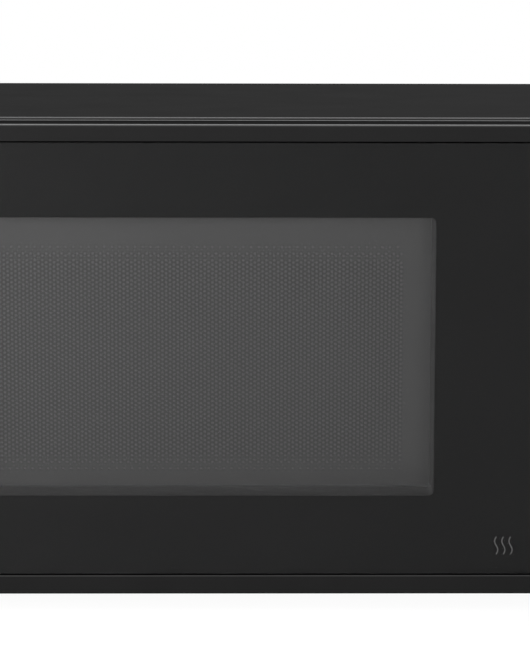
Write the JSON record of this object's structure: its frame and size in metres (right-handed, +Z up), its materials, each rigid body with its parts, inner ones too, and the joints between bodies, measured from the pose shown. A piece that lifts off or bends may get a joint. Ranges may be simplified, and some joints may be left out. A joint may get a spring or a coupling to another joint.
{
  "type": "microwave oven",
  "caption": "Black countertop microwave oven with a side-hinged glass door, perforated window screen, push-button door release, dial control and glass turntable.",
  "frame": {"origin": "centre of the footprint's bounding box, on the surface under the feet", "axes": "+Z up, the door and control panel face -Y, the control panel is at +X"},
  "size_m": [0.476, 0.384, 0.272],
  "materials": {
    "cabinet_paint": "fine textured black powder coat",
    "galvanised": "zinc-coated sheet",
    "zinc_screws": "zinc plated",
    "foot_rubber": "matt",
    "black_moulding": "fine satin",
    "black_fascia": "satin gloss",
    "control_trim": "satin",
    "lens": "dark transparent",
    "door_glass": "black printed border",
    "tray_glass": "clear",
    "lamp_glass": "clear",
    "screen_paint": "black painted steel",
    "film": "grey film",
    "cavity_enamel": "grey baked enamel",
    "mica": "pressed mica sheet",
    "white_moulding": "plain",
    "switch_plastic": "plain",
    "motor_steel": "plated",
    "magnetron_steel": "plated",
    "fin_aluminium": "mill",
    "antenna_ceramic": "plain",
    "lamination": "varnished laminations",
    "winding": "enamelled wire",
    "can": "mill",
    "circuit": "solder mask",
    "spring_steel": "bright"
  },
  "bodies": {
    "cabinet": {"base_plate": "galvanised", "button_spring": "spring_steel", "cabinet_screws": "zinc_screws", "control_board": "circuit", "control_fascia": "black_fascia", "control_housing": "black_moulding", "cord_gland": "black_moulding", "dial_encoder": "switch_plastic", "display_lens": "lens", "display_module": "black_fascia", "fan_motor": "motor_steel", "fan_shroud": "white_moulding", "feet": "foot_rubber", "front_plate": "cavity_enamel", "hinge_brackets": "galvanised", "hinge_pins": "zinc_screws", "hv_capacitor": "can", "interlock_switches": "switch_plastic", "lamp_holder": "galvanised", "latch_board": "white_moulding", "lower_bezel": "black_moulding", "magnetron_antenna": "antenna_ceramic", "magnetron_filter_box": "galvanised", "magnetron_fins": "fin_aluminium", "magnetron_yoke": "magnetron_steel", "noise_filter_board": "circuit", "outer_cabinet": "cabinet_paint", "oven_cavity": "cavity_enamel", "oven_lamp": "lamp_glass", "rear_panel": "galvanised", "rear_spacers": "black_moulding", "thermal_cutouts": "switch_plastic", "transformer_core": "lamination", "transformer_windings": "winding", "turntable_motor": "motor_steel", "upper_bezel": "black_moulding", "waveguide": "galvanised", "waveguide_cover": "mica"},
    "door": {"door_frame": "black_moulding", "door_glass": "door_glass", "door_screen": "screen_paint", "inner_film": "film", "choke_cover": "black_moulding", "latch_spring": "spring_steel"},
    "latch": {"latch_bar": "white_moulding"},
    "button": {"door_button": "control_trim"},
    "lever": {"release_lever": "white_moulding"},
    "key_1": {"key_1": "control_trim"},
    "key_2": {"key_2": "control_trim"},
    "key_3": {"key_3": "control_trim"},
    "key_4": {"key_4": "control_trim"},
    "dial": {"dial_knob": "control_trim"},
    "turntable": {"turntable_coupler": "white_moulding"},
    "tray": {"turntable_tray": "tray_glass"},
    "roller_ring": {"roller_ring": "white_moulding"},
    "roller_1": {"roller_1": "white_moulding"},
    "roller_2": {"roller_2": "white_moulding"},
    "roller_3": {"roller_3": "white_moulding"},
    "fan": {"fan_blade": "white_moulding"}
  },
  "joints": [
    {"name": "door_hinge", "type": "hinge", "parent": "cabinet", "child": "door", "pos_m": [-0.2285, -0.155, 0.14], "axis": [0, 0, -1], "range_deg": [0, 110]},
    {"name": "button_press", "type": "slide", "parent": "cabinet", "child": "button", "axis": [0, 1, 0], "range_m": [0, 0.004], "stiffness_N_per_m": 400, "deforming": ["button_spring"]},
    {"name": "lever_turn", "type": "hinge", "parent": "cabinet", "child": "lever", "pos_m": [0.16, -0.1141, 0.05724], "axis": [-1, 0, 0], "range_deg": [0, 19.2]},
    {"name": "latch_lift", "type": "slide", "parent": "door", "child": "latch", "axis": [0, 0, 1], "range_m": [0, 0.004], "deforming": ["latch_spring"]},
    {"name": "key_1_press", "type": "slide", "parent": "cabinet", "child": "key_1", "axis": [0, 1, 0], "range_m": [0, 0.0008], "stiffness_N_per_m": 600},
    {"name": "key_2_press", "type": "slide", "parent": "cabinet", "child": "key_2", "axis": [0, 1, 0], "range_m": [0, 0.0008], "stiffness_N_per_m": 600},
    {"name": "key_3_press", "type": "slide", "parent": "cabinet", "child": "key_3", "axis": [0, 1, 0], "range_m": [0, 0.0008], "stiffness_N_per_m": 600},
    {"name": "key_4_press", "type": "slide", "parent": "cabinet", "child": "key_4", "axis": [0, 1, 0], "range_m": [0, 0.0008], "stiffness_N_per_m": 600},
    {"name": "dial_turn", "type": "hinge", "parent": "cabinet", "child": "dial", "pos_m": [0.199, -0.178, 0.12845], "axis": [0, -1, 0], "continuous": true},
    {"name": "turntable_spin", "type": "hinge", "parent": "cabinet", "child": "turntable", "pos_m": [-0.046, 0.0111, 0.044], "axis": [0, 0, 1], "continuous": true},
    {"name": "tray_lift", "type": "slide", "parent": "turntable", "child": "tray", "axis": [0, 0, 1], "range_m": [0, 0.05]},
    {"name": "roller_ring_turn", "type": "hinge", "parent": "cabinet", "child": "roller_ring", "pos_m": [-0.046, 0.0111, 0.044], "axis": [0, 0, 1], "continuous": true},
    {"name": "roller_1_spin", "type": "hinge", "parent": "roller_ring", "child": "roller_1", "pos_m": [-0.046, 0.1031, 0.044], "axis": [0, 1, 0], "continuous": true},
    {"name": "roller_2_spin", "type": "hinge", "parent": "roller_ring", "child": "roller_2", "pos_m": [-0.12567, -0.0349, 0.044], "axis": [-0.866, -0.5, 0], "continuous": true},
    {"name": "roller_3_spin", "type": "hinge", "parent": "roller_ring", "child": "roller_3", "pos_m": [0.03367, -0.0349, 0.044], "axis": [0.866, -0.5, 0], "continuous": true},
    {"name": "fan_spin", "type": "hinge", "parent": "cabinet", "child": "fan", "pos_m": [0.1745, 0.1454, 0.196], "axis": [0, 1, 0], "continuous": true}
  ],
  "couplings": [
    {"joint": "lever_turn", "follows": "button_press", "rad_per_m": 83.333},
    {"joint": "latch_lift", "follows": "button_press", "ratio": 1},
    {"joint": "roller_ring_turn", "follows": "turntable_spin", "ratio": 0.5},
    {"joint": "roller_1_spin", "follows": "turntable_spin", "ratio": -5.8974},
    {"joint": "roller_2_spin", "follows": "turntable_spin", "ratio": -5.8974},
    {"joint": "roller_3_spin", "follows": "turntable_spin", "ratio": -5.8974}
  ]
}
